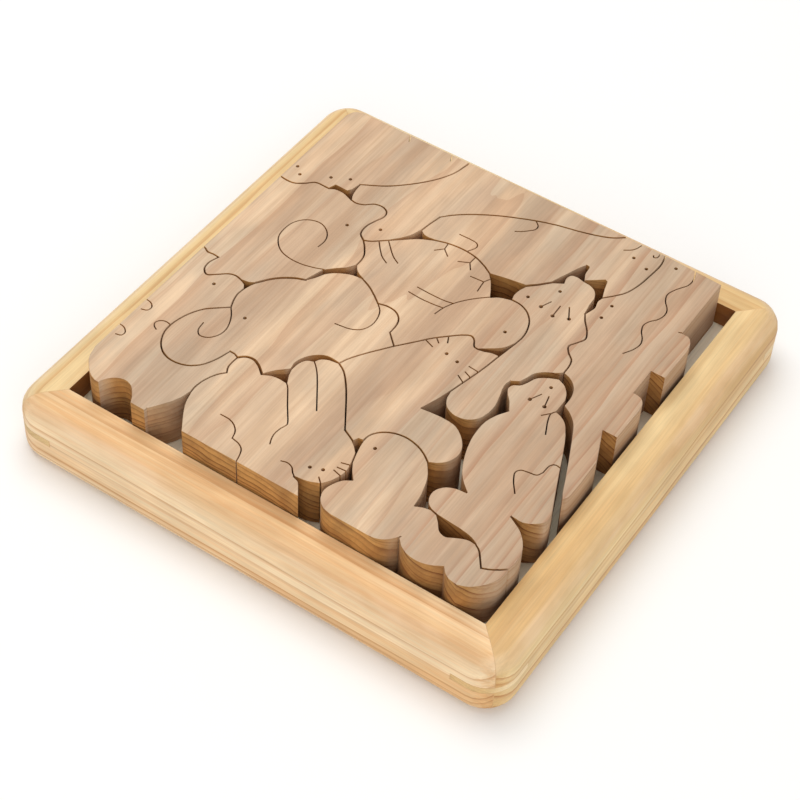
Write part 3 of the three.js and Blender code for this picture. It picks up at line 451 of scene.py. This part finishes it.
GLUE = Wood(
    early=(222, 184, 132),
    late=(206, 162, 108),
    late_end=(198, 154, 100),
    band=(214, 172, 120),
    end=(246, 238, 226),
    pith=(30.0, -160.0),
    ring=3.0,
    ring_strength=0.3,
    streak_strength=0.1,
    roughness=0.4,
)
PANEL = Wood(
    early=(252, 243, 218),
    late=(238, 221, 182),
    late_end=(226, 206, 164),
    band=(247, 234, 203),
    end=(224, 206, 176),
    pith=(20.0, -420.0),
    ring=5.5,
    ring_strength=0.3,
    band_width=45.0,
    streak_strength=0.1,
)


# ---------------------------------------------------------------- shapes


def smoothing_group():
    """A modifier tree that shades faces smooth, and keeps edges sharper than the smooth angle sharp."""
    tree = bpy.data.node_groups.new("smooth_by_angle", "GeometryNodeTree")
    tree.interface.new_socket("Geometry", in_out="INPUT", socket_type="NodeSocketGeometry")
    tree.interface.new_socket("Geometry", in_out="OUTPUT", socket_type="NodeSocketGeometry")
    start = tree.nodes.new("NodeGroupInput")
    end = tree.nodes.new("NodeGroupOutput")
    merge = tree.nodes.new("GeometryNodeMergeByDistance")
    merge.inputs["Distance"].default_value = MERGE_DISTANCE
    smooth = tree.nodes.new("GeometryNodeSetShadeSmooth")
    smooth.domain = "FACE"
    angle = tree.nodes.new("GeometryNodeInputMeshEdgeAngle")
    compare = tree.nodes.new("FunctionNodeCompare")
    compare.operation = "GREATER_THAN"
    compare.inputs[1].default_value = SMOOTH_ANGLE
    sharpen = tree.nodes.new("GeometryNodeSetShadeSmooth")
    sharpen.domain = "EDGE"
    sharpen.inputs["Shade Smooth"].default_value = False
    links = tree.links
    links.new(start.outputs[0], merge.inputs["Geometry"])
    links.new(merge.outputs["Geometry"], smooth.inputs["Geometry"])
    links.new(smooth.outputs["Geometry"], sharpen.inputs["Geometry"])
    links.new(angle.outputs["Unsigned Angle"], compare.inputs[0])
    links.new(compare.outputs["Result"], sharpen.inputs["Selection"])
    links.new(sharpen.outputs["Geometry"], end.inputs[0])
    return tree


def finish_node(node, material, smoothing):
    """Gives a CAD node its material and smooth shading."""
    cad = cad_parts[node]
    cad.data.materials.clear()
    cad.data.materials.append(material)
    cad.modifiers.new("smooth", "NODES").node_group = smoothing
    weighted = cad.modifiers.new("weighted", "WEIGHTED_NORMAL")
    weighted.keep_sharp = True


def glue_film(name, node, direction, thickness, material):
    """A film of glue over a CAD node's faces that look one way, as thick as its joint."""
    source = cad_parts[node].data
    towards = Vector(direction).normalized()
    film = bmesh.new()
    film.from_mesh(source)
    others = [face for face in film.faces if face.normal.dot(towards) < SAME_WAY]
    bmesh.ops.delete(film, geom=others, context="FACES")
    bmesh.ops.remove_doubles(film, verts=film.verts, dist=MERGE_DISTANCE)
    moved = bmesh.ops.extrude_face_region(film, geom=film.faces[:], use_keep_orig=True)
    corners = [part for part in moved["geom"] if isinstance(part, bmesh.types.BMVert)]
    bmesh.ops.translate(film, verts=corners, vec=towards * thickness)
    bmesh.ops.translate(film, verts=film.verts[:], vec=towards * thickness * (1 - GLUE_SHARE) / 2)
    bmesh.ops.recalc_face_normals(film, faces=film.faces[:])
    mesh = bpy.data.meshes.new(name)
    film.to_mesh(mesh)
    film.free()
    mesh.materials.append(material)
    piece = bpy.data.objects.new(name, mesh)
    bpy.context.scene.collection.objects.link(piece)
    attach(piece, "tray")


def reach(node, direction):
    """How far a CAD node's nearest and farthest points are along a direction."""
    along = [vertex.co.dot(direction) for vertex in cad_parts[node].data.vertices]
    return min(along), max(along)


# ---------------------------------------------------------------- studio


def aimed(place, aim):
    """A turn that looks from one place to another, with +Z up."""
    return (aim - place).to_track_quat("-Z", "Y").to_matrix().to_4x4()


def add_camera():
    data = bpy.data.cameras.new("camera")
    data.lens = CAMERA_LENS
    data.shift_x, data.shift_y = CAMERA_SHIFT
    camera = bpy.data.objects.new("camera", data)
    roll = Matrix.Rotation(CAMERA_ROLL, 4, "Z")
    camera.matrix_world = Matrix.Translation(CAMERA_PLACE) @ aimed(CAMERA_PLACE, CAMERA_AIM) @ roll
    bpy.context.scene.collection.objects.link(camera)
    bpy.context.scene.camera = camera


def add_softbox(name, place, size, power):
    data = bpy.data.lights.new(name, "AREA")
    data.shape = "SQUARE"
    data.size = size
    data.energy = power
    light = bpy.data.objects.new(name, data)
    light.matrix_world = Matrix.Translation(place) @ aimed(Vector(place), Vector((0.0, 0.0, 0.0)))
    bpy.context.scene.collection.objects.link(light)


def add_world():
    world = bpy.data.worlds.new("studio")
    world.use_nodes = True
    background = world.node_tree.nodes["Background"]
    background.inputs["Color"].default_value = (1.0, 1.0, 1.0, 1.0)
    background.inputs["Strength"].default_value = WORLD_STRENGTH
    bpy.context.scene.world = world


def add_floor():
    shader = Shader("studio_floor")
    shader.feed(shader.surface.inputs["Base Color"], linear(FLOOR_COLOUR))
    shader.feed(shader.surface.inputs["Roughness"], FLOOR_ROUGHNESS)
    floor = bmesh.new()
    bmesh.ops.create_grid(floor, x_segments=1, y_segments=1, size=FLOOR_SIZE / 2)
    mesh = bpy.data.meshes.new("studio_floor")
    floor.to_mesh(mesh)
    floor.free()
    mesh.materials.append(shader.material)
    piece = bpy.data.objects.new("studio_floor", mesh)
    piece.location.z = CAD_BOUNDS[0][2] - FLOOR_DROP
    bpy.context.scene.collection.objects.link(piece)


# ---------------------------------------------------------------- assembly

add_camera()
add_world()
add_floor()
add_softbox("key", **KEY_LIGHT)
add_softbox("fill", **FILL_LIGHT)
bpy.context.scene.view_settings.view_transform = "Standard"

smoothing = smoothing_group()
animal_wood = wood_material("animal_board", ANIMAL_BOARD)
spline_wood = wood_material("spline_wood", SPLINE)
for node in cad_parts:
    if node.endswith("_piece"):
        finish_node(node, animal_wood, smoothing)
    if node.endswith("_spline"):
        finish_node(node, spline_wood, smoothing)
for node, wood in RAILS.items():
    finish_node(node, wood_material(node + "_wood", wood), smoothing)
finish_node("floor_panel", wood_material("panel_wood", PANEL), smoothing)

RAIL_ORDER = ["front_rail", "right_rail", "back_rail", "left_rail"]
SPLINE_ORDER = ["front_left_spline", "front_right_spline", "back_right_spline", "back_left_spline"]
glue_wood = wood_material("dried_glue", GLUE)
# Each turn glues a rail's right-hand end to its neighbour, and the spline at its left-hand end.
for turn, (rail, spline) in enumerate(zip(RAIL_ORDER, SPLINE_ORDER)):
    quarter = Matrix.Rotation(turn * math.pi / 2, 3, "Z")
    towards = quarter @ Vector((1.0, 1.0, 0.0)).normalized()
    neighbour = RAIL_ORDER[(turn + 1) % len(RAIL_ORDER)]
    gap = reach(neighbour, towards)[0] - reach(rail, towards)[1]
    films = {
        f"mitre_glue_{turn}": (rail, towards),
        f"spline_glue_over_{turn}": (spline, Z_AXIS),
        f"spline_glue_under_{turn}": (spline, -Vector(Z_AXIS)),
        f"spline_glue_inner_{turn}": (spline, towards),
    }
    for name, (covered, direction) in films.items():
        glue_film(name, covered, direction, gap * GLUE_SHARE, glue_wood)
